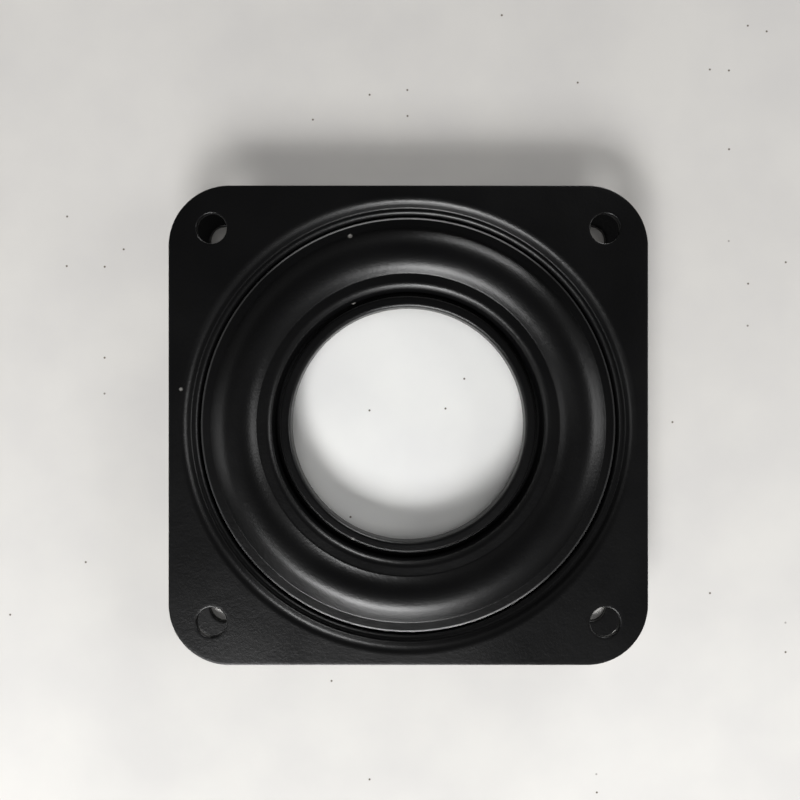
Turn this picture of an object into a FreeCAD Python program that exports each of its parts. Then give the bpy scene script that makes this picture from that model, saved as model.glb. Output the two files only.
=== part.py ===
import FreeCAD, Part
import math
import os

# Square swivel bearing of pressed steel sheet, with one row of balls in a cage.
# Units are millimetres. +Z points up along the turning axis, and the origin lies on
# that axis in the mounting face of the lower plate.
# The upper plate rides on the balls. A round retaining ring lies over its inner part,
# and the lower plate's neck comes up through the ring and is rolled out over its rim,
# so that ring and lower plate are one unit and the upper plate turns between them.

# Overall sizes
overall_height = 8.0
plate_side = 71.0
corner_radius = 9.0
sheet = 1.0

# Screw holes, the same in both plates: each hole's centre is set in from two sides
hole_diameter = 4.5
hole_inset = 6.35

# Balls and their cage
ball_diameter = 4.0
ball_count = 24
race_clearance = 0.06
groove_relief = 0.24
cage_thickness = 0.7
cage_width = 5.6
pocket_clearance = 0.1

# Running clearances between the pressed sheets
floor_gap = 1.2
ring_clearance = 0.3
inner_clearance = 0.55
seat_clearance = 0.05

# Dished part of the plates: the flange beside it, the upper plate's shoulder and terrace
flange_width = 2.25
shoulder_run = 0.75
terrace_width = 0.88
terrace_drop = 1.3
step_slope = 88.0
lower_shoulder_slope = 60.0
race_slope = 50.0

# Retaining ring: the gap round its edge, and how far its edge and neck lie from the balls
edge_gap = 0.32
ring_outer_reach = 5.2
ring_outer_slope = 30.0
ring_inner_slope = 45.0
ring_inner_reach = 5.34
ring_neck_slope = 80.0

# Neck of the lower plate and its rolled lip: the gap from the lip to the ring's neck
neck_wall = 0.8
lip_thickness = 1.1
lip_width = 1.7
lip_gap = 1.06

# Inside radii of the bends, outside radii where a bend is set sharp, and edge roundings
tight_bend = 0.1
plate_bend = 0.4
foot_bend = 0.15
valley_bend = 0.3
valley_outside = 0.5
step_outside = 0.6
neck_root_bend = 0.8
lip_inner_rounding = 0.55
lip_outer_rounding = 0.45
ring_edge_rounding = 0.28
cut_edge_rounding = 0.15
hole_edge_rounding = 0.2

# Radii that follow, from the square's side inwards
hole_spacing = plate_side - 2 * hole_inset
shoulder_radius = plate_side / 2 - flange_width
terrace_radius = shoulder_radius - shoulder_run
step_radius = terrace_radius - terrace_width
ring_outer_radius = step_radius - edge_gap
ball_circle_radius = ring_outer_radius - ring_outer_reach
ring_neck_radius = ball_circle_radius - ring_inner_reach
lip_outer_radius = ring_neck_radius - lip_gap
bore_radius = lip_outer_radius - lip_width

# Levels and radii of the sheets
ball_radius = ball_diameter / 2
race_radius = ball_radius + race_clearance
channel_radius = race_radius + sheet
ring_under_radius = channel_radius + ring_clearance
ring_crest_radius = ring_under_radius + sheet
ball_level = groove_relief + channel_radius
lower_floor_top = ball_level - floor_gap / 2
upper_floor_top = ball_level + floor_gap / 2 + sheet
brim_top = upper_floor_top + ring_clearance + sheet
terrace_level = overall_height - terrace_drop
rim_top = lower_floor_top + sheet
neck_outer_radius = bore_radius + neck_wall
rim_radius = neck_outer_radius + seat_clearance
blank_radius = plate_side
same_place = 1e-6

axis_point = FreeCAD.Vector(0, 0, 0)
axis_up = FreeCAD.Vector(0, 0, 1)


def tan_deg(angle):
    return math.tan(math.radians(angle))


def cos_deg(angle):
    return math.cos(math.radians(angle))


def fillet_points(before, corner, after, radius):
    """Start, middle and end of the arc that rounds one corner of a section."""
    into = (corner - before).normalize()
    out = (after - corner).normalize()
    turn = into.getAngle(out)
    reach = radius * math.tan(turn / 2)
    start = corner - into * reach
    end = corner + out * reach
    inward = (out - into).normalize()
    centre = corner + inward * (radius / math.cos(turn / 2))
    return start, centre - inward * radius, end


def rounded_face(corners):
    """The flat face inside a closed outline of (radius, level, rounding) corners."""
    points = [FreeCAD.Vector(radius, 0, level) for radius, level, rounding in corners]
    edges = []
    spans = []
    for index, corner in enumerate(corners):
        if corner[2] > 0:
            before = points[index - 1]
            after = points[(index + 1) % len(points)]
            spans.append(fillet_points(before, points[index], after, corner[2]))
        else:
            spans.append((points[index], None, points[index]))
    for index, (start, middle, end) in enumerate(spans):
        if middle:
            edges.append(Part.Arc(start, middle, end).toShape())
        next_start = spans[(index + 1) % len(spans)][0]
        if end.distanceToPoint(next_start) > same_place:
            edges.append(Part.LineSegment(end, next_start).toShape())
    return Part.Face(Part.Wire(edges))


def turned(corners):
    """The solid that a closed section makes when it is turned about the axis."""
    return rounded_face(corners).revolve(axis_point, axis_up, 360)


def offset_path(path, depth):
    """The other skin of a sheet: the path's corners, moved a depth to the side of the metal.

    A path is a list of (radius, level, bend) corners that runs from the flange inwards.
    A positive depth lies on the left of that walk, which is below the sheet.
    """
    points = [FreeCAD.Vector(radius, 0, level) for radius, level, *bends in path]
    lines = []
    for start, end in zip(points, points[1:]):
        along = (end - start).normalize()
        side = FreeCAD.Vector(-along.z, 0, along.x)
        lines.append((start + side * depth, along))
    moved = [(lines[0][0].x, lines[0][0].z)]
    for (first, first_way), (second, second_way) in zip(lines, lines[1:]):
        cross = first_way.x * second_way.z - first_way.z * second_way.x
        gap = second - first
        reach = (gap.x * second_way.z - gap.z * second_way.x) / cross
        corner = first + first_way * reach
        moved.append((corner.x, corner.z))
    last, last_way = lines[-1]
    end = points[-1] + FreeCAD.Vector(-last_way.z, 0, last_way.x) * depth
    moved.append((end.x, end.z))
    return moved


def sheet_corners(path):
    """Closed section of a sheet whose top skin follows a path, in outline order.

    Each bend is the radius on the inside of the bend. The skin on the outside of it
    has that radius plus the sheet's thickness, so the sheet keeps its thickness. A corner
    that the tool sets sharper gives its outside radius as a fourth value.
    The first and last corners are cut ends, rounded alike on both skins.
    """
    under = offset_path(path, sheet)
    top_skin = []
    under_skin = []
    for index, (radius, level, bend, *sharper) in enumerate(path):
        outside = sharper[0] if sharper else bend + sheet
        if index in (0, len(path) - 1):
            top_skin.append((radius, level, bend))
            under_skin.append((under[index][0], under[index][1], bend))
            continue
        before = FreeCAD.Vector(radius - path[index - 1][0], 0, level - path[index - 1][1])
        after = FreeCAD.Vector(path[index + 1][0] - radius, 0, path[index + 1][1] - level)
        turns_down = before.x * after.z - before.z * after.x > 0
        top_skin.append((radius, level, outside if turns_down else bend))
        under_skin.append((under[index][0], under[index][1], bend if turns_down else outside))
    return top_skin + under_skin[::-1]


def arch_apex(skin_radius, slope):
    """Height of the point where two flanks of an arch over the balls would meet."""
    return ball_level + skin_radius / cos_deg(slope)


def arch_foot(skin_radius, slope, floor_level):
    """How far from the ball circle a flank of an arch meets a flat floor."""
    return (arch_apex(skin_radius, slope) - floor_level) / tan_deg(slope)


def screw_holes(flange_bottom):
    """The four drills that cut the screw holes of one flange."""
    drills = []
    for across in (-hole_spacing / 2, hole_spacing / 2):
        for along in (-hole_spacing / 2, hole_spacing / 2):
            place = FreeCAD.Vector(across, along, flange_bottom - sheet)
            drills.append(Part.makeCylinder(hole_diameter / 2, 3 * sheet, place))
    return drills


def square_blank():
    """A square prism with round corners that trims a plate to its outline."""
    blank = Part.makeBox(plate_side, plate_side, overall_height)
    blank.translate(FreeCAD.Vector(-plate_side / 2, -plate_side / 2, 0))
    upright = [edge for edge in blank.Edges if abs(edge.tangentAt(edge.FirstParameter).z) > 0.5]
    return blank.makeFillet(corner_radius, upright)


def is_round_about(edge, axis_x, axis_y):
    """Whether an edge is a circle or an arc about an upright axis."""
    if not isinstance(edge.Curve, Part.Circle):
        return False
    centre = edge.Curve.Center
    return math.hypot(centre.x - axis_x, centre.y - axis_y) < same_place


def is_screw_hole(edge):
    half = hole_spacing / 2
    return any(is_round_about(edge, across, along) for across in (-half, half) for along in (-half, half))


def face_edges(plate, flange_bottom):
    """The edges that lie in the two faces of the flange."""
    levels = (flange_bottom, flange_bottom + sheet)
    flat = [edge for edge in plate.Edges if edge.BoundBox.ZLength < same_place]
    return [edge for edge in flat if min(abs(edge.BoundBox.ZMin - level) for level in levels) < same_place]


def square_plate(dish, flange_bottom):
    """Cuts a dished round blank to the square outline, with its screw holes and soft edges."""
    plate = dish.common(square_blank()).cut(screw_holes(flange_bottom))
    flat_edges = face_edges(plate, flange_bottom)
    outline = [edge for edge in flat_edges if not is_screw_hole(edge) and not is_round_about(edge, 0, 0)]
    plate = plate.makeFillet(cut_edge_rounding, outline)
    holes = [edge for edge in face_edges(plate, flange_bottom) if is_screw_hole(edge)]
    return plate.makeFillet(hole_edge_rounding, holes).Solids[0]


def upper_plate():
    """Square plate whose dish steps down round the retaining ring and arches over the balls."""
    step_wall = terrace_level - upper_floor_top
    step_foot = step_radius - step_wall / tan_deg(step_slope)
    bend_reach = tan_deg(step_slope / 2)
    edge_outside = min(step_outside, (step_wall - foot_bend) / bend_reach)
    foot_outside = min(foot_bend + sheet, (step_wall - tight_bend) / bend_reach)
    foot = arch_foot(channel_radius, race_slope, upper_floor_top)
    apex = arch_apex(channel_radius, race_slope)
    ring_wall_reach = sheet * tan_deg(ring_neck_slope / 2)
    inner_radius = ring_neck_radius + ring_wall_reach + inner_clearance
    path = [
        (blank_radius, overall_height, 0),
        (shoulder_radius, overall_height, plate_bend),
        (terrace_radius, terrace_level, valley_bend, valley_outside),
        (step_radius, terrace_level, tight_bend, edge_outside),
        (step_foot, upper_floor_top, foot_bend, foot_outside),
        (ball_circle_radius + foot, upper_floor_top, plate_bend),
        (ball_circle_radius, apex, race_radius),
        (ball_circle_radius - foot, upper_floor_top, plate_bend),
        (inner_radius, upper_floor_top, cut_edge_rounding),
    ]
    dish = turned(sheet_corners(path))
    return square_plate(dish, overall_height - sheet)


def retaining_ring():
    """Round ring over the upper plate's inner part, with a deep rim round the bore."""
    outer_foot = arch_foot(ring_crest_radius, ring_outer_slope, brim_top)
    inner_foot = arch_foot(ring_crest_radius, ring_inner_slope, brim_top)
    outer_apex = arch_apex(ring_crest_radius, ring_outer_slope)
    inner_apex = arch_apex(ring_crest_radius, ring_inner_slope)
    slopes = tan_deg(ring_outer_slope) + tan_deg(ring_inner_slope)
    apex_shift = (inner_apex - outer_apex) / slopes
    apex_radius = ball_circle_radius - apex_shift
    apex_level = outer_apex + apex_shift * tan_deg(ring_outer_slope)
    rim_drop = brim_top - rim_top
    path = [
        (ring_outer_radius, brim_top, ring_edge_rounding),
        (ball_circle_radius + outer_foot, brim_top, plate_bend),
        (apex_radius, apex_level, ring_under_radius),
        (ball_circle_radius - inner_foot, brim_top, plate_bend),
        (ring_neck_radius, brim_top, tight_bend),
        (ring_neck_radius - rim_drop / tan_deg(ring_neck_slope), rim_top, plate_bend),
        (rim_radius, rim_top, cut_edge_rounding),
    ]
    return turned(sheet_corners(path))


def lower_plate():
    """Square plate with the ball groove, and a neck rolled out over the ring's rim."""
    shoulder_rise = lower_floor_top - sheet
    shoulder_foot = shoulder_radius - shoulder_rise / tan_deg(lower_shoulder_slope)
    groove_depth = race_radius / cos_deg(race_slope) - floor_gap / 2
    foot = groove_depth / tan_deg(race_slope)
    bottom = lower_floor_top - groove_depth
    path = [
        (blank_radius, sheet, 0),
        (shoulder_radius, sheet, plate_bend),
        (shoulder_foot, lower_floor_top, plate_bend),
        (ball_circle_radius + foot, lower_floor_top, plate_bend),
        (ball_circle_radius, bottom, race_radius),
        (ball_circle_radius - foot, lower_floor_top, plate_bend),
        (ring_neck_radius, lower_floor_top, 0),
    ]
    skins = sheet_corners(path)
    top_skin = skins[:len(path) - 1]
    under_skin = skins[len(path) + 1:]
    floor_bottom = lower_floor_top - sheet
    lip_top = rim_top + lip_thickness
    neck = [
        (neck_outer_radius, lower_floor_top, tight_bend),
        (neck_outer_radius, rim_top, 0),
        (lip_outer_radius, rim_top, cut_edge_rounding),
        (lip_outer_radius, lip_top, lip_outer_rounding),
        (bore_radius, lip_top, lip_inner_rounding),
        (bore_radius, floor_bottom, neck_root_bend),
    ]
    dish = turned(top_skin + neck + under_skin)
    return square_plate(dish, 0)


def ball_angles():
    return [360 * number / ball_count for number in range(ball_count)]


def ball_centre(angle):
    across = ball_circle_radius * math.cos(math.radians(angle))
    along = ball_circle_radius * math.sin(math.radians(angle))
    return FreeCAD.Vector(across, along, ball_level)


def ball_cage():
    """Flat ring that floats between the two floors, with a pocket for each ball."""
    outer = ball_circle_radius + cage_width / 2
    inner = ball_circle_radius - cage_width / 2
    base = FreeCAD.Vector(0, 0, ball_level - cage_thickness / 2)
    ring = Part.makeCylinder(outer, cage_thickness, base)
    ring = ring.cut(Part.makeCylinder(inner, cage_thickness, base))
    pockets = []
    for angle in ball_angles():
        place = ball_centre(angle) - FreeCAD.Vector(0, 0, cage_thickness)
        pockets.append(Part.makeCylinder(ball_radius + pocket_clearance, 2 * cage_thickness, place))
    return ring.cut(pockets).Solids[0]


def ball(angle):
    return Part.makeSphere(ball_radius, ball_centre(angle))


def all_pieces():
    pieces = {
        "lower_plate": lower_plate(),
        "upper_plate": upper_plate(),
        "retaining_ring": retaining_ring(),
        "ball_cage": ball_cage(),
    }
    for number, angle in enumerate(ball_angles(), start=1):
        pieces[f"ball_{number:02d}"] = ball(angle)
    return pieces


os.makedirs("parts", exist_ok=True)
for name, piece in all_pieces().items():
    piece.exportStep(f"parts/{name}.step")
    print(name, piece.ShapeType, piece.isValid(), round(piece.Volume, 2))
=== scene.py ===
# %% [markdown]
# # A square swivel bearing in black paint
#
# The object is a small turntable bearing: two square plates pressed from steel sheet, a row of
# balls in a cage between them, and a round retaining ring that is held by the lower plate's rolled
# neck. Nearly all that shows is satin black paint on smooth pressed curves, so two things decide
# whether the picture looks right: how smooth the curves are, and how the paint answers the light.

# %% Load the fixed frame
import math

import bpy
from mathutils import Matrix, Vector


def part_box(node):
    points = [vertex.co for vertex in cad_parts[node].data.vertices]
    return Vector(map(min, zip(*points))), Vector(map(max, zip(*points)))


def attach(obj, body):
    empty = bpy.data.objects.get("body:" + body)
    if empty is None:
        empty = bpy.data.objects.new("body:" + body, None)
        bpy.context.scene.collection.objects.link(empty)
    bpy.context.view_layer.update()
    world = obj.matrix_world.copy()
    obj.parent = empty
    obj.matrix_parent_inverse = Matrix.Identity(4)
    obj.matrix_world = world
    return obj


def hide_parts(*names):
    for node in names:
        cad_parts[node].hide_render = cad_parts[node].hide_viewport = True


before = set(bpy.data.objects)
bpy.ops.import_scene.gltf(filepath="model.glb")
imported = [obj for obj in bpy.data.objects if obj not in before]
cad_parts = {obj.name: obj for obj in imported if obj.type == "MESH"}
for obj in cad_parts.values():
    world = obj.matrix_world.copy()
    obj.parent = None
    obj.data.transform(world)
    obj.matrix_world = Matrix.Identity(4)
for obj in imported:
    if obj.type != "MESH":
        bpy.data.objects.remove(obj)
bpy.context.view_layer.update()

# %% [markdown]
# ## Which pieces are made again
#
# The plates and the ring could keep the frame's meshes, which are right in shape. Those meshes are
# loose triangles with few steps across each bend, though, and black satin paint shows every facet
# as a kink in its highlight. So the three pressed pieces are drawn again with many fine steps, and
# the balls and the cage, which hardly show, keep the frame's meshes and only get a finish.

# %% Sizes, in millimetres
MM = 0.001

low_corner, high_corner = [Vector(corner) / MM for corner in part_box("upper_plate")]
plate_side = high_corner.x - low_corner.x
overall_height = high_corner.z
corner_radius = 9.0
sheet = 1.0
cut_edge_rounding = 0.15
plate_bend = 0.4
tight_bend = 0.1
hole_spacing = 58.3
hole_diameter = 4.5

ball_low, ball_high = [Vector(corner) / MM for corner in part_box("ball_01")]
ball_level = (ball_low.z + ball_high.z) / 2
ball_circle_radius = (ball_low.x + ball_high.x) / 2
race_clearance = 0.06
race_radius = (ball_high.z - ball_low.z) / 2 + race_clearance
race_slope = 50
channel_radius = race_radius + sheet
ring_clearance = 0.3
ring_crest_radius = channel_radius + ring_clearance + sheet

half_floor_gap = 0.6
lower_floor_top = ball_level - half_floor_gap
upper_floor_top = ball_level + half_floor_gap + sheet
brim_top = upper_floor_top + ring_clearance + sheet
rim_top = lower_floor_top + sheet
print("side", round(plate_side, 3), "height", round(overall_height, 3))
print("ball circle", round(ball_circle_radius, 3), "ball level", round(ball_level, 3))

# %% [markdown]
# ## Drawing a section by hand
#
# A pressed sheet is the same all the way round, so it can be drawn once as a section and spun about
# the axis. The section could be typed in as a list of points, but a drawing board works better: one
# vertex is extruded along each straight stretch and spun round the centre of each bend, so every
# bend is a true arc. Beveling the corners would be quicker, but a bevel is only round at 90 degrees.


# %% Select one piece alone
def only(piece=None):
    """Leaves edit mode, deselects all, and makes one piece the selected and active object."""
    if bpy.context.mode != "OBJECT":
        bpy.ops.object.mode_set(mode="OBJECT")
    bpy.ops.object.select_all(action="DESELECT")
    if piece:
        piece.select_set(True)
        bpy.context.view_layer.objects.active = piece
    return piece


only()
print("mode:", bpy.context.mode, "selected:", len(bpy.context.selected_objects))

# %% [markdown]
# Each bend is an arc that touches both straights. Its reach along them follows from the angle
# between them, and the sign of that angle says to which side the arc turns.


# %% Extrude the straights and spin the bends
def corner_arc(before, corner, after, radius):
    """Where the bend at a corner starts, the centre it turns about and the angle it turns."""
    into = (corner - before).normalized()
    out = (after - corner).normalized()
    turn = into.angle_signed(out)
    reach = radius * math.tan(abs(turn) / 2)
    start = corner - into * reach
    side = Vector((-into.y, into.x)) * (1 if turn < 0 else -1)
    return start, start + side * radius, -turn


def draw_section(name, corners, closed):
    """A chain of edges through (radius, level, bend) corners, in millimetres."""
    points = [Vector((radius, level)) for radius, level, bend in corners]
    count = len(corners)
    last = count if closed else count - 1
    first = (points[-1] + points[0]) / 2 if closed else points[0]
    only()
    bpy.ops.mesh.primitive_plane_add(size=MM, location=(first.x * MM, 0, first.y * MM))
    piece = bpy.context.object
    piece.name = name
    bpy.ops.object.transform_apply(location=True, rotation=True, scale=True)
    bpy.ops.object.mode_set(mode="EDIT")
    bpy.ops.mesh.select_mode(type="VERT")
    bpy.ops.mesh.select_all(action="SELECT")
    bpy.ops.mesh.merge(type="CENTER")
    here = first
    for index in range(0 if closed else 1, last):
        before, corner, after = points[index - 1], points[index], points[(index + 1) % count]
        bend = corners[index][2]
        start, centre, turn = corner_arc(before, corner, after, bend) if bend else (corner, None, 0)
        step = (start - here) * MM
        bpy.ops.mesh.extrude_region_move(TRANSFORM_OT_translate={"value": (step.x, 0, step.y)})
        here = start
        if bend:
            steps = max(3, math.ceil(math.degrees(abs(turn)) / bend_step))
            middle = centre * MM
            bpy.ops.mesh.spin(steps=steps, angle=turn, center=(middle.x, 0, middle.y), axis=(0, 1, 0))
            spoke = here - centre
            here = centre + Vector((
                spoke.x * math.cos(turn) - spoke.y * math.sin(turn),
                spoke.x * math.sin(turn) + spoke.y * math.cos(turn),
            ))
    end = first if closed else points[-1]
    step = (end - here) * MM
    bpy.ops.mesh.extrude_region_move(TRANSFORM_OT_translate={"value": (step.x, 0, step.y)})
    bpy.ops.mesh.select_all(action="SELECT")
    bpy.ops.mesh.remove_doubles(threshold=weld_distance)
    bpy.ops.object.mode_set(mode="OBJECT")
    print(name, len(piece.data.vertices), "vertices in the section")
    bpy.ops.object.mode_set(mode="EDIT")
    return piece


bend_step = 6.0
weld_distance = 0.0005 * MM
print("one step per", bend_step, "degrees of bend")

# %% [markdown]
# A full spin of a section gives the same faces as a Screw modifier would, without a modifier to
# apply. Its last step lands on its first, so those points are merged, and the spin may have turned the
# faces inwards, so their normals are worked out again.


# %% Spin a section about the axis
def spin_about_axis():
    """Turns the section in edit mode once round the axis."""
    bpy.ops.mesh.select_all(action="SELECT")
    bpy.ops.mesh.spin(steps=round_steps, angle=2 * math.pi, center=(0, 0, 0), axis=(0, 0, 1))
    bpy.ops.mesh.select_all(action="SELECT")
    bpy.ops.mesh.remove_doubles(threshold=weld_distance)
    bpy.ops.mesh.normals_make_consistent(inside=False)


round_steps = 240
print("steps round the axis:", round_steps)

# %% [markdown]
# ## From one skin to a sheet
#
# Sheet metal keeps its thickness through a bend: the inside of the bend has the punch's radius, and
# the outside has that radius plus the sheet. The Solidify modifier does this for a finished surface,
# but here both skins are wanted in one section, so that the cut edges can be rounded too. The second
# skin is the first one moved sideways by the sheet's thickness, corner by corner.


# %% Both skins of a bent sheet
def offset_corners(path, depth):
    """The corners of a path, moved a depth to the side that lies below the sheet."""
    points = [Vector((radius, level)) for radius, level, *bends in path]
    sides = []
    for start, end in zip(points, points[1:]):
        along = (end - start).normalized()
        sides.append(Vector((-along.y, along.x)) * depth)
    moved = [points[0] + sides[0]]
    for index in range(1, len(points) - 1):
        half = sides[index - 1] + sides[index]
        moved.append(points[index] + half * (2 * depth**2 / half.length_squared))
    moved.append(points[-1] + sides[-1])
    return moved


def sheet_section(path):
    """The corners of a sheet's section: its top skin along the path, then its other skin back."""
    under_points = offset_corners(path, sheet)
    top, under = [], []
    for index, (radius, level, bend, *sharper) in enumerate(path):
        outside = sharper[0] if sharper else bend + sheet
        inner = index not in (0, len(path) - 1)
        top_bend = under_bend = bend
        if inner:
            before = Vector((radius - path[index - 1][0], level - path[index - 1][1]))
            after = Vector((path[index + 1][0] - radius, path[index + 1][1] - level))
            if before.x * after.y - before.y * after.x > 0:
                top_bend = outside
            else:
                under_bend = outside
        top.append((radius, level, top_bend))
        under.append((under_points[index].x, under_points[index].y, under_bend))
    return top + under[::-1]


def flank(skin_radius, slope, floor_level):
    """How far from the ball circle a flank of an arch meets the floor, and its apex level."""
    angle = math.radians(slope)
    apex = ball_level + skin_radius / math.cos(angle)
    return (apex - floor_level) / math.tan(angle), apex


channel_foot, channel_apex = flank(channel_radius, race_slope, upper_floor_top)
print("the arch over the balls meets the floor", round(channel_foot, 2), "mm from the ball circle")

# %% [markdown]
# ## The retaining ring
#
# The ring is the large round dish in the middle: a flat brim, a ridge over the balls that is steeper
# on its inner side, a narrow flat land, and a deep rim round the centre hole. It is a full round, so
# its whole closed section is spun and nothing else is needed. The loose outer edge is rounded, and
# that rounding, with a painted highlight along it, draws the fine bright line round the dish.

# %% Spin the retaining ring
ring_outer_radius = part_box("retaining_ring")[1][0] / MM
ring_edge_rounding = 0.28
ring_outer_slope, ring_inner_slope, ring_neck_slope = 30, 45, 80
outer_foot, outer_apex = flank(ring_crest_radius, ring_outer_slope, brim_top)
inner_foot, inner_apex = flank(ring_crest_radius, ring_inner_slope, brim_top)
tan_outer = math.tan(math.radians(ring_outer_slope))
tan_inner = math.tan(math.radians(ring_inner_slope))
apex_shift = (inner_apex - outer_apex) / (tan_outer + tan_inner)
ring_neck_radius = 20.76
ring_rim_radius = 18.85
ring_foot_radius = ring_neck_radius - (brim_top - rim_top) / math.tan(math.radians(ring_neck_slope))
ring_path = [
    (ring_outer_radius, brim_top, ring_edge_rounding),
    (ball_circle_radius + outer_foot, brim_top, plate_bend),
    (ball_circle_radius - apex_shift, outer_apex + apex_shift * tan_outer, ring_crest_radius - sheet),
    (ball_circle_radius - inner_foot, brim_top, plate_bend),
    (ring_neck_radius, brim_top, tight_bend),
    (ring_foot_radius, rim_top, plate_bend),
    (ring_rim_radius, rim_top, cut_edge_rounding),
]
ring = draw_section("ring_pressing", sheet_section(ring_path), closed=True)
spin_about_axis()
only(ring)
bpy.ops.object.shade_smooth()
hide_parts("retaining_ring")
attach(ring, "base")
print("ring_pressing:", len(ring.data.polygons), "faces")

# %% [markdown]
# ## The square flange
#
# A square flange round a spun dish is the awkward part of this shape. A boolean of a round blank and
# a square block would do it, but leaves slivers along the cut that spoil a bevel. Here the flat is
# built as a flat: a square plane with its corners beveled round, an inset strip along the outline, a
# ring of quads round each screw hole and one circle where the dish begins. Fill closes what lies
# between, and one extrude gives the sheet its thickness. The strips keep the edge rounding clean.
#
# By hand one would click the edges that Fill needs. In a script they are known by their place, so
# first come the tests that say whether a point lies on a strip's edge or round a hole.


# %% Find edges by their place
def select_edges(piece, wanted):
    """Selects the edges of the piece in edit mode for which wanted(first, second) is true."""
    bpy.ops.mesh.select_mode(type="EDGE")
    bpy.ops.mesh.select_all(action="DESELECT")
    bpy.ops.object.mode_set(mode="OBJECT")
    vertices = piece.data.vertices
    for edge in piece.data.edges:
        first, second = [vertices[index].co / MM for index in edge.vertices]
        edge.select = bool(wanted(first, second))
    bpy.ops.object.mode_set(mode="EDIT")


def round_radius(point):
    return math.hypot(point.x, point.y)


def near_hole_ring(point):
    """Whether a point lies on the outer edge of one of the rings round the screw holes."""
    reach = math.hypot(abs(point.x) - hole_spacing / 2, abs(point.y) - hole_spacing / 2)
    return abs(reach - hole_diameter / 2 - strip_width) < on_circle


def near_strip(point):
    """Whether a point lies on the inner edge of the strip along the outline."""
    inner_side = plate_side / 2 - strip_width
    inner_corner = corner_radius - strip_width
    across = max(abs(point.x) - (inner_side - inner_corner), 0)
    along = max(abs(point.y) - (inner_side - inner_corner), 0)
    on_corner = across > 0 and along > 0 and abs(math.hypot(across, along) - inner_corner) < on_outline
    return on_corner or abs(max(abs(point.x), abs(point.y)) - inner_side) < on_outline


strip_width = 0.5
on_circle, on_outline = 0.01, 0.02
print("strips of", strip_width, "mm along the outline and round the holes")

# %% [markdown]
# The circle round a hole is extruded on the spot and scaled about its own centre, which leaves a
# narrow ring of faces. The face inside the outline is deleted but keeps its edges. After the last
# extrude, the upright wall where the dish begins is taken out, so that the dish can be merged there.


# %% Build the flat of a plate
def add_hole_ring(centre, radius):
    """A circle of edges in edit mode, widened to a narrow ring of faces."""
    bpy.ops.mesh.primitive_circle_add(vertices=hole_steps, radius=radius * MM, location=centre)
    bpy.ops.mesh.extrude_region_move()
    grow = (radius + strip_width) / radius
    bpy.ops.transform.resize(value=(grow, grow, 1), center_override=centre)


def on_dish_circle(point):
    return abs(round_radius(point) - dish_radius) < on_circle


def make_flange(name, top_level):
    """The flat of a square plate, with its four screw holes and a round opening for the dish."""
    level = top_level * MM
    only()
    bpy.ops.mesh.primitive_plane_add(size=plate_side * MM, location=(0, 0, level))
    piece = bpy.context.object
    piece.name = name
    bpy.ops.object.transform_apply(location=True, rotation=True, scale=True)
    bpy.ops.object.mode_set(mode="EDIT")
    bpy.ops.mesh.select_all(action="SELECT")
    bpy.ops.mesh.bevel(offset=corner_radius * MM, segments=corner_steps, affect="VERTICES")
    bpy.ops.mesh.select_mode(type="FACE")
    bpy.ops.mesh.select_all(action="SELECT")
    bpy.ops.mesh.inset(thickness=strip_width * MM)
    bpy.ops.mesh.delete(type="ONLY_FACE")
    bpy.ops.mesh.select_mode(type="VERT")
    half = hole_spacing / 2 * MM
    for across in (-half, half):
        for along in (-half, half):
            add_hole_ring((across, along, level), hole_diameter / 2)
    bpy.ops.mesh.primitive_circle_add(vertices=round_steps, radius=dish_radius * MM, location=(0, 0, level))
    select_edges(piece, lambda a, b: (
        (near_strip(a) and near_strip(b))
        or (near_hole_ring(a) and near_hole_ring(b))
        or (on_dish_circle(a) and on_dish_circle(b))
    ))
    bpy.ops.mesh.fill(use_beauty=True)
    bpy.ops.mesh.select_all(action="SELECT")
    bpy.ops.mesh.normals_make_consistent(inside=False)
    bpy.ops.mesh.extrude_region_move(TRANSFORM_OT_translate={"value": (0, 0, -sheet * MM)})
    select_edges(piece, lambda a, b: (
        abs(a.z - b.z) > sheet / 2 and on_dish_circle(a) and on_dish_circle(b)
    ))
    bpy.ops.mesh.delete(type="EDGE")
    return piece


hole_steps = 64
corner_steps = 24
dish_radius = 34.2
print("the dish begins at radius", dish_radius)

# %% [markdown]
# ## Joining dish and flange
#
# Both halves of a plate end in the same two circles, one in each face of the sheet, so joining is
# only a merge of those points. The two sharp edges along the outline and round each hole then get
# the small rounding that blanking and a coat of paint leave. Only those edges are sharp, so they
# can be picked by their angle.


# %% Merge the halves and round the cut edges
def join_plate(name, flange, dish):
    """One plate out of its flat and its spun dish."""
    only(flange)
    print(dish.name, len(dish.data.polygons), "faces")
    dish.select_set(True)
    bpy.ops.object.join()
    flange.name = name
    bpy.ops.object.mode_set(mode="EDIT")
    bpy.ops.mesh.select_all(action="SELECT")
    bpy.ops.mesh.remove_doubles(threshold=join_distance)
    bpy.ops.mesh.normals_make_consistent(inside=False)
    bpy.ops.mesh.select_mode(type="EDGE")
    bpy.ops.mesh.select_all(action="DESELECT")
    bpy.ops.mesh.edges_select_sharp(sharpness=sharp_angle)
    bpy.ops.mesh.bevel(offset=cut_edge_rounding * MM, segments=edge_segments, affect="EDGES")
    only(flange)
    bpy.ops.object.shade_smooth()
    print(name + ":", len(flange.data.polygons), "faces")
    return flange


join_distance = 0.002 * MM
sharp_angle = math.radians(60)
edge_segments = 4
print("cut edges are rounded in", edge_segments, "steps")

# %% [markdown]
# ## The upper plate
#
# Its dish starts with a steep shoulder, rests on a narrow terrace, steps down beside the ring and
# runs flat under the ring's brim. From there it arches over the balls and ends in a short flat. Only
# the shoulder, the terrace and the step show from above, but the whole sheet is made, because the
# bearing is also seen from the side and from below.

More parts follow.
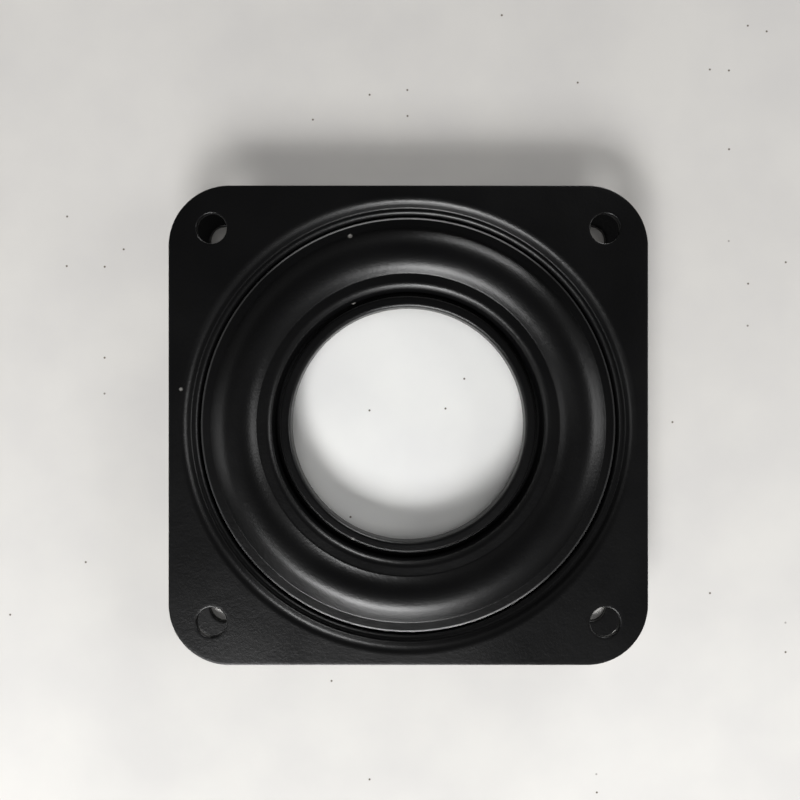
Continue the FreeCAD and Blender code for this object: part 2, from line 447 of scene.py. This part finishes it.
# %% Make the upper plate
shoulder_radius = 33.25
terrace_radius, terrace_drop = 32.5, 1.3
terrace_level = overall_height - terrace_drop
edge_gap, step_slope = 0.32, 88
step_radius = ring_outer_radius + edge_gap
step_foot = step_radius - (terrace_level - upper_floor_top) / math.tan(math.radians(step_slope))
inner_clearance = 0.55
ring_wall_reach = sheet * math.tan(math.radians(ring_neck_slope / 2))
inner_radius = ring_neck_radius + ring_wall_reach + inner_clearance
valley_bend, valley_outside, step_outside = 0.3, 0.5, 0.6
upper_path = [
    (dish_radius, overall_height, 0),
    (shoulder_radius, overall_height, plate_bend),
    (terrace_radius, terrace_level, valley_bend, valley_outside),
    (step_radius, terrace_level, tight_bend, step_outside),
    (step_foot, upper_floor_top, cut_edge_rounding),
    (ball_circle_radius + channel_foot, upper_floor_top, plate_bend),
    (ball_circle_radius, channel_apex, race_radius),
    (ball_circle_radius - channel_foot, upper_floor_top, plate_bend),
    (inner_radius, upper_floor_top, cut_edge_rounding),
]
upper_dish = draw_section("upper_dish", sheet_section(upper_path), closed=False)
spin_about_axis()
upper = join_plate("upper_pressing", make_flange("upper_flat", overall_height), upper_dish)
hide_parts("upper_plate")
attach(upper, "turntable")

# %% [markdown]
# ## The lower plate
#
# The lower plate has a groove where the upper one has an arch. Inside the groove its floor turns up
# into a neck, thinner than the sheet because it was drawn out of it, and the end of the neck is
# rolled out over the ring's rim. That roll is the bead round the centre hole, so the neck's corners
# are listed and added to the section, between the two skins of the sheet.

# %% Section of the groove and the neck
lower_shoulder_slope = 60
shoulder_rise = lower_floor_top - sheet
lower_shoulder_foot = shoulder_radius - shoulder_rise / math.tan(math.radians(lower_shoulder_slope))
groove_depth = race_radius / math.cos(math.radians(race_slope)) - half_floor_gap
groove_foot = groove_depth / math.tan(math.radians(race_slope))
lower_path = [
    (dish_radius, sheet, 0),
    (shoulder_radius, sheet, plate_bend),
    (lower_shoulder_foot, lower_floor_top, plate_bend),
    (ball_circle_radius + groove_foot, lower_floor_top, plate_bend),
    (ball_circle_radius, lower_floor_top - groove_depth, race_radius),
    (ball_circle_radius - groove_foot, lower_floor_top, plate_bend),
    (ring_neck_radius, lower_floor_top, 0),
]
lower_skins = sheet_section(lower_path)

bore_radius = 18.0
neck_wall, lip_radius, lip_thickness = 0.8, 19.7, 1.1
neck_outer_radius = bore_radius + neck_wall
lip_top = rim_top + lip_thickness
under_lip_bend, lip_outer_rounding, lip_inner_rounding, neck_root_bend = 0.05, 0.45, 0.55, 0.8
neck = [
    (neck_outer_radius, lower_floor_top, tight_bend),
    (neck_outer_radius, rim_top, under_lip_bend),
    (lip_radius, rim_top, cut_edge_rounding),
    (lip_radius, lip_top, lip_outer_rounding),
    (bore_radius, lip_top, lip_inner_rounding),
    (bore_radius, lower_floor_top - sheet, neck_root_bend),
]
ends = len(lower_path)
lower_section = lower_skins[:ends - 1] + neck + lower_skins[ends + 1:]
print("corners in the lower plate's section:", len(lower_section))

# %% [markdown]
# The section is open at the flange, as the upper plate's is, so it is spun and joined in the same way.

# %% Make the lower plate
lower_dish = draw_section("lower_dish", lower_section, closed=False)
spin_about_axis()
lower = join_plate("lower_pressing", make_flange("lower_flat", sheet), lower_dish)
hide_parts("lower_plate")
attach(lower, "base")

# %% [markdown]
# ## Nodes that every finish uses
#
# A finish is a small net of nodes, and a few steps come back in each of them: a noise, a change of
# range, a mix of two colours, a bump. They could be set up anew each time, as one does in the shader
# editor, but a helper for each step keeps the finishes short enough to read. All patterns read Object
# coordinates, so they stick to a piece when it turns.


# %% Helpers for a material, a noise and a range
def new_material(name):
    material = bpy.data.materials.new(name)
    material.use_nodes = True
    nodes = material.node_tree.nodes
    return material, nodes, material.node_tree.links, nodes["Principled BSDF"]


def add_noise(nodes, links, source, per_metre, detail=2.0):
    """A noise texture on object coordinates, with so many grains to the metre."""
    noise = nodes.new("ShaderNodeTexNoise")
    noise.inputs["Scale"].default_value = per_metre
    noise.inputs["Detail"].default_value = detail
    links.new(source, noise.inputs["Vector"])
    return noise.outputs["Fac"]


def add_range(nodes, links, value, low, high, from_low=0.0, from_high=1.0):
    """A Map Range node that turns a value into one between low and high."""
    span = nodes.new("ShaderNodeMapRange")
    span.inputs["From Min"].default_value = from_low
    span.inputs["From Max"].default_value = from_high
    span.inputs["To Min"].default_value = low
    span.inputs["To Max"].default_value = high
    links.new(value, span.inputs["Value"])
    return span.outputs["Result"]


def add_bump(nodes, links, height, depth, normal=None):
    """A bump of a depth in metres, on top of another one where there is one."""
    bump = nodes.new("ShaderNodeBump")
    bump.inputs["Strength"].default_value = 1.0
    bump.inputs["Distance"].default_value = depth
    links.new(height, bump.inputs["Height"])
    if normal:
        links.new(normal, bump.inputs["Normal"])
    return bump.outputs["Normal"]


def add_mix(nodes, links, factor, base, top, blend_type="MIX"):
    """A colour between base and top, each of which is a colour or the socket of one."""
    mix = nodes.new("ShaderNodeMix")
    mix.data_type = "RGBA"
    mix.blend_type = blend_type
    links.new(factor, mix.inputs["Factor"])
    for socket, colour in (("A", base), ("B", top)):
        if isinstance(colour, tuple):
            mix.inputs[socket].default_value = (*colour, 1)
        else:
            links.new(colour, mix.inputs[socket])
    return mix.outputs["Result"]


print("materials before the finishes:", len(bpy.data.materials))

# %% [markdown]
# ## Specks and round bands
#
# Dust and crumbs are small round specks, far apart. A thresholded noise would give ragged blots, so
# they come from a Voronoi texture: the distance to the middle of a cell makes the round speck, and
# the cell's own random colour decides whether it holds one. A band at a radius from the axis is
# simpler still: the length of the flattened coordinate, less the radius.


# %% Helpers for specks and bands
def add_math(nodes, links, operation, first, second=None):
    """One step of arithmetic on a socket and, where there is one, a second socket or a number."""
    step = nodes.new("ShaderNodeMath")
    step.operation = operation
    links.new(first, step.inputs[0])
    if isinstance(second, float):
        step.inputs[1].default_value = second
    elif second is not None:
        links.new(second, step.inputs[1])
    return step.outputs["Value"]


def add_specks(nodes, links, source, dimensions, per_metre, reach, share):
    """One inside small round specks and nothing elsewhere, with a share of the cells holding one."""
    cells = nodes.new("ShaderNodeTexVoronoi")
    cells.voronoi_dimensions = dimensions
    cells.inputs["Scale"].default_value = per_metre
    cells.inputs["Randomness"].default_value = 1.0
    links.new(source, cells.inputs["Vector"])
    speck = add_range(nodes, links, cells.outputs["Distance"], 1.0, 0.0, reach / 2, reach)
    chance = nodes.new("ShaderNodeSeparateColor")
    links.new(cells.outputs["Color"], chance.inputs["Color"])
    bar = 1 - share
    chosen = add_range(nodes, links, chance.outputs["Red"], 0.0, 1.0, bar, bar + chance_fade)
    return add_math(nodes, links, "MULTIPLY", speck, chosen)


def add_round_band(nodes, links, source, radius, half_width):
    """One at a radius from the axis, falling to nothing at half a width to each side."""
    flat = nodes.new("ShaderNodeVectorMath")
    flat.operation = "MULTIPLY"
    flat.inputs[1].default_value = (1, 1, 0)
    links.new(source, flat.inputs[0])
    reach = nodes.new("ShaderNodeVectorMath")
    reach.operation = "DISTANCE"
    links.new(flat.outputs["Vector"], reach.inputs[0])
    aside = add_math(nodes, links, "SUBTRACT", reach.outputs["Value"], radius * MM)
    away = add_math(nodes, links, "ABSOLUTE", aside)
    return add_range(nodes, links, away, 1.0, 0.0, half_width * MM / 2, half_width * MM)


chance_fade = 0.005
print("specks and bands are ready")

# %% [markdown]
# ## Satin black paint
#
# The finish is a coat of black, sprayed thinly on smooth steel. A plain dark colour with a plain
# roughness looks like plastic, so a few things are added. A fine bump gives the grain that sprayed
# paint dries with, and breaks up the highlights. The roughness drifts a little from place to place, as
# handling leaves it. A few pale flecks of dust lie on the paint. The ring's edge and the lip of the neck
# each get a narrow paler band, strongest at the front and back: a painted highlight on those edges.

# %% Values of the paint
paint_colour = (0.0022, 0.0022, 0.0024)
paint_ior = 1.44
paint_roughness = (0.31, 0.37)
drift_per_metre, drift_span = 90, (0.3, 0.7)
grain_per_metre, grain_depth = 2800, 0.000022
peel_per_metre, peel_depth = 800, 0.00002
dust_colour = (0.35, 0.34, 0.32)
dust_per_metre, dust_reach, dust_share = 240, 0.1, 0.1
highlight_band_width = 0.24
share_at_sides = 0.12
share_from, share_full = 0.72, 0.98
level_fade = 0.1
print("paint roughness from", paint_roughness[0], "to", paint_roughness[1])

# %% [markdown]
# The painted highlight band is the product of three parts: the round band itself, a share that grows
# towards the front and back, and a test that keeps it off the hidden sheets below. Each piece is painted
# with Object coordinates of its own, but all of them lie about the same axis, so one radius serves.


# %% Make the paint
def add_painted_edge_highlight(nodes, links, place, radius, level):
    """A painted highlight: at a radius, above a level, and mostly at the front and back."""
    edge = add_round_band(nodes, links, place, radius, highlight_band_width)
    apart = nodes.new("ShaderNodeSeparateXYZ")
    links.new(place, apart.inputs["Vector"])
    aside = add_math(nodes, links, "ABSOLUTE", apart.outputs["Y"])
    reach = radius * MM
    share = add_range(nodes, links, aside, share_at_sides, 1.0, share_from * reach, share_full * reach)
    bottom = (level - level_fade) * MM
    above = add_range(nodes, links, apart.outputs["Z"], 0.0, 1.0, bottom, level * MM)
    topmost = add_math(nodes, links, "MULTIPLY", share, above)
    return add_math(nodes, links, "MULTIPLY", edge, topmost)


def make_paint(name, highlight_radius, highlight_level, highlight_tone):
    """Black satin paint with a fine spray grain, drifting gloss, a little dust and a painted highlight
    along one edge.
    """
    material, nodes, links, shader = new_material(name)
    place = nodes.new("ShaderNodeTexCoord").outputs["Object"]
    # A painted highlight: a paler band along a rounded edge, mixed into the black.
    edge_highlight = add_painted_edge_highlight(nodes, links, place, highlight_radius, highlight_level)
    dust = add_specks(nodes, links, place, "3D", dust_per_metre, dust_reach, dust_share)
    paint_with_highlight = add_mix(nodes, links, edge_highlight, paint_colour, (highlight_tone, highlight_tone, highlight_tone))
    links.new(add_mix(nodes, links, dust, paint_with_highlight, dust_colour), shader.inputs["Base Color"])

    drift = add_noise(nodes, links, place, drift_per_metre)
    roughness = add_range(nodes, links, drift, *paint_roughness, *drift_span)
    links.new(roughness, shader.inputs["Roughness"])
    peel = add_noise(nodes, links, place, peel_per_metre, detail=1.0)
    grain = add_noise(nodes, links, place, grain_per_metre, detail=3.0)
    peel_normal = add_bump(nodes, links, peel, peel_depth)
    links.new(add_bump(nodes, links, grain, grain_depth, peel_normal), shader.inputs["Normal"])
    shader.inputs["IOR"].default_value = paint_ior
    return material


# Tones of the painted highlights along the ring's edge and the lip of the neck.
ring_edge_highlight_tone, lip_edge_highlight_tone = 0.36, 0.09
brim_highlight_radius = ring_outer_radius - ring_edge_rounding / 2
brim_highlight_level = brim_top - sheet / 2
lip_highlight_level = rim_top + 0.2
paint = make_paint("black_satin_paint", brim_highlight_radius, brim_highlight_level, ring_edge_highlight_tone)
neck_paint = make_paint("black_satin_paint_on_neck", lip_radius, lip_highlight_level, lip_edge_highlight_tone)
for piece, finish in ((upper, paint), (lower, neck_paint), (ring, paint)):
    piece.data.materials.clear()
    piece.data.materials.append(finish)
print("painted:", upper.name, lower.name, ring.name)

# %% [markdown]
# ## Balls and cage
#
# Through the gap between the plates one sees a row of steel balls and the edge of the ring that
# spaces them. Bearing balls are ground and polished, then wetted with a little grease, so they are a
# metal with a low, slightly uneven roughness. The cage is natural nylon: a warm off-white, matt, with
# the faint mottle of a moulding.


# %% Finishes for the balls and the cage
def make_ball_steel():
    """Polished steel with a thin uneven film of grease."""
    material, nodes, links, shader = new_material("greased_ball_steel")
    place = nodes.new("ShaderNodeTexCoord").outputs["Object"]
    film = add_noise(nodes, links, place, film_per_metre)
    roughness = add_range(nodes, links, film, *ball_roughness, *film_span)
    links.new(roughness, shader.inputs["Roughness"])
    shader.inputs["Base Color"].default_value = (*ball_colour, 1)
    shader.inputs["Metallic"].default_value = 1.0
    links.new(add_bump(nodes, links, film, film_depth), shader.inputs["Normal"])
    return material


def make_nylon():
    """Moulded natural nylon."""
    material, nodes, links, shader = new_material("natural_nylon")
    place = nodes.new("ShaderNodeTexCoord").outputs["Object"]
    mottle = add_noise(nodes, links, place, mottle_per_metre, detail=3.0)
    links.new(add_mix(nodes, links, mottle, nylon_shade, nylon_light), shader.inputs["Base Color"])
    links.new(add_range(nodes, links, mottle, *nylon_roughness), shader.inputs["Roughness"])
    links.new(add_bump(nodes, links, mottle, mottle_depth), shader.inputs["Normal"])
    return material


ball_colour = (0.62, 0.62, 0.64)
ball_roughness = (0.12, 0.3)
film_per_metre, film_depth, film_span = 700, 0.000006, (0.35, 0.65)
nylon_shade, nylon_light = (0.62, 0.58, 0.49), (0.74, 0.71, 0.63)
nylon_roughness = (0.45, 0.6)
mottle_per_metre, mottle_depth = 350, 0.00001
ball_steel = make_ball_steel()
nylon = make_nylon()
print("finishes:", ball_steel.name, nylon.name)

# %% [markdown]
# The frame's own nodes carry no finish yet. The plates and the ring among them are replaced by the
# new pieces and don't show, but every node gets its finish, so that none is ever seen bare.

# %% Give each node of the frame its finish
for name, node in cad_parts.items():
    if name == "ball_cage":
        finish = nylon
    elif name.startswith("ball_"):
        finish = ball_steel
    else:
        finish = paint
    if not node.material_slots:
        only(node)
        bpy.ops.object.material_slot_add()
    for slot in node.material_slots:
        slot.material = finish
print("finished nodes:", len(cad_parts))

# %% [markdown]
# ## The table
#
# The bearing lies on a pale table that is a little warm. Its colour is painted brighter towards the
# front, painted light for the way the light falls from the front. A plane with a flat colour would do
# for the shadow, but the eye expects a trace of texture, so the colour has a faint mottle, and small
# dark crumbs lie on it. The table is also painted a little paler under the bore, painted light where
# the neck would otherwise shade it more than the picture shows.

# %% Lay the table
table_side, table_cuts = 1.6, 8
only()
bpy.ops.mesh.primitive_plane_add(size=table_side, location=(0, 0, 0))
table = bpy.context.object
table.name = "table"
bpy.ops.object.mode_set(mode="EDIT")
bpy.ops.mesh.select_all(action="SELECT")
bpy.ops.mesh.subdivide(number_cuts=table_cuts)
bpy.ops.object.mode_set(mode="OBJECT")
print("table:", len(table.data.polygons), "faces")

# %% [markdown]
# Its colour is built up in layers, from the widest to the smallest: the painted light from front to
# back, the painted paler middle, a cloudy mottle that is multiplied in, and the crumbs on top.

# %% Colour the table
# The front tone is painted light: the table is painted brighter where the light from the front falls.
front_tone, back_tone = (0.71, 0.698, 0.672), (0.62, 0.605, 0.58)
front_end, back_end = -0.05, 0.03
painted_fill_tone, painted_fill_reach = (0.84, 0.84, 0.82), 40.0
cloud_tone, clouds_per_metre, cloud_span = (0.94, 0.94, 0.95), 60, (0.35, 0.65)
crumb_colour = (0.12, 0.1, 0.08)
crumbs_per_metre, crumb_reach, crumb_share = 330, 0.07, 0.03
table_roughness, table_gloss = 0.85, 0.05

table_material, nodes, links, shader = new_material("pale_table")
place = nodes.new("ShaderNodeTexCoord").outputs["Object"]
apart = nodes.new("ShaderNodeSeparateXYZ")
links.new(place, apart.inputs["Vector"])
# Masks of painted light: brighter towards the front, and paler round the axis under the bore.
painted_light_falloff = add_range(nodes, links, apart.outputs["Y"], 0.0, 1.0, front_end, back_end)
painted_fill_mask = add_round_band(nodes, links, place, 0.0, painted_fill_reach)
cloud = add_noise(nodes, links, place, clouds_per_metre, detail=4.0)
cloudy = add_range(nodes, links, cloud, 0.0, 1.0, *cloud_span)
crumbs = add_specks(nodes, links, place, "2D", crumbs_per_metre, crumb_reach, crumb_share)
tone = add_mix(nodes, links, painted_light_falloff, front_tone, back_tone)
tone = add_mix(nodes, links, painted_fill_mask, tone, painted_fill_tone)
tone = add_mix(nodes, links, cloudy, tone, cloud_tone, blend_type="MULTIPLY")
tone = add_mix(nodes, links, crumbs, tone, crumb_colour)
links.new(tone, shader.inputs["Base Color"])
shader.inputs["Roughness"].default_value = table_roughness
shader.inputs["Specular IOR Level"].default_value = table_gloss
table.data.materials.append(table_material)
print("table colour:", len(nodes), "nodes")

# %% [markdown]
# ## Light
#
# The highlights tell where the light was. They lie on the near flanks of the ridges towards the
# front left and on the far flanks towards the back right, and each is drawn out along the arc. So
# the main light is a window in front, with a second one to its left, and two low windows stand
# further away, in front and at the back right. Faint panels at both sides keep the ends of the
# ridges from going dead. Angles are easier to read off a highlight than places, so each window is
# set by its azimuth and its angle off the zenith.


# %% Place the windows
def add_window(name, azimuth, zenith, distance, width, height, power):
    """A soft panel that faces the object, from an azimuth and an angle off the zenith."""
    turn, lean = math.radians(azimuth), math.radians(zenith)
    away = Vector((math.sin(lean) * math.cos(turn), math.sin(lean) * math.sin(turn), math.cos(lean)))
    only()
    bpy.ops.object.light_add(type="AREA", location=away * distance)
    window = bpy.context.object
    window.name = name
    window.data.shape = "RECTANGLE"
    window.data.size = width
    window.data.size_y = height
    window.data.energy = power
    window.rotation_euler = away.to_track_quat("Z", "Y").to_euler()
    print(name, [round(place, 3) for place in window.location], power, "W")
    return window


add_window("front_window", azimuth=264, zenith=55, distance=0.6, width=0.24, height=0.2, power=3.0)
add_window("front_left_window", azimuth=244, zenith=50, distance=0.6, width=0.17, height=0.17, power=1.2)
add_window("low_front_window", azimuth=266, zenith=81, distance=3.2, width=1.8, height=0.74, power=40)
add_window("back_window", azimuth=64, zenith=80, distance=3.2, width=1.4, height=0.9, power=60)
add_window("right_glow", azimuth=0, zenith=66, distance=2.4, width=0.8, height=0.96, power=11)
add_window("left_glow", azimuth=188, zenith=70, distance=2.4, width=0.8, height=0.8, power=4)

# %% [markdown]
# The flat flange is dark because what it mirrors overhead is dark, so the room glows only at the
# sides. That leaves deep shadows on the table. A lamp overhead would lift them, but it would turn the
# flange grey, so the last glow is linked to the table alone.

# %% Glow on the table and in the room
table_glow = add_window("table_glow", azimuth=0, zenith=0, distance=0.6, width=0.4, height=0.4, power=0.75)
table_only = bpy.data.collections.new("table_only")
table_only.objects.link(table)
table_glow.light_linking.receiver_collection = table_only

side_glow, overhead_glow = 0.17, 0.03
side_rise, overhead_rise = 0.35, 0.8
room_colour = (1.0, 0.99, 0.98)
world = bpy.data.worlds.new("dim_room")
bpy.context.scene.world = world
world.use_nodes = True
nodes, links = world.node_tree.nodes, world.node_tree.links
heading = nodes.new("ShaderNodeTexCoord").outputs["Object"]
apart = nodes.new("ShaderNodeSeparateXYZ")
links.new(heading, apart.inputs["Vector"])
glow = add_range(nodes, links, apart.outputs["Z"], side_glow, overhead_glow, side_rise, overhead_rise)
links.new(glow, nodes["Background"].inputs["Strength"])
nodes["Background"].inputs["Color"].default_value = (*room_colour, 1)
print("room glow from", side_glow, "at the sides to", overhead_glow, "overhead")

# %% [markdown]
# ## Camera
#
# The picture was taken from close above, so deeper edges draw in towards the middle: the bore looks
# smaller than it is, and a slice of each lower screw hole shows through the upper one. A long lens
# would lose that, so the camera stands only about a plate's width and a third above the top face.

# %% Place the camera
camera_across, camera_along, camera_rise = -1.23, 3.74, 96
frame_width, sensor_width = 118.3, 36
camera_place = Vector((camera_across, camera_along, overall_height + camera_rise)) * MM
only()
bpy.ops.object.camera_add(location=camera_place, rotation=(0, 0, 0))
camera = bpy.context.object
camera.name = "view_from_above"
camera.data.sensor_width = sensor_width
camera.data.lens = sensor_width * camera_rise / frame_width
camera.data.clip_start = 0.005
camera.data.clip_end = 10
scene = bpy.context.scene
scene.camera = camera
scene.view_settings.view_transform = "Standard"
print("lens", round(camera.data.lens, 2), "mm")
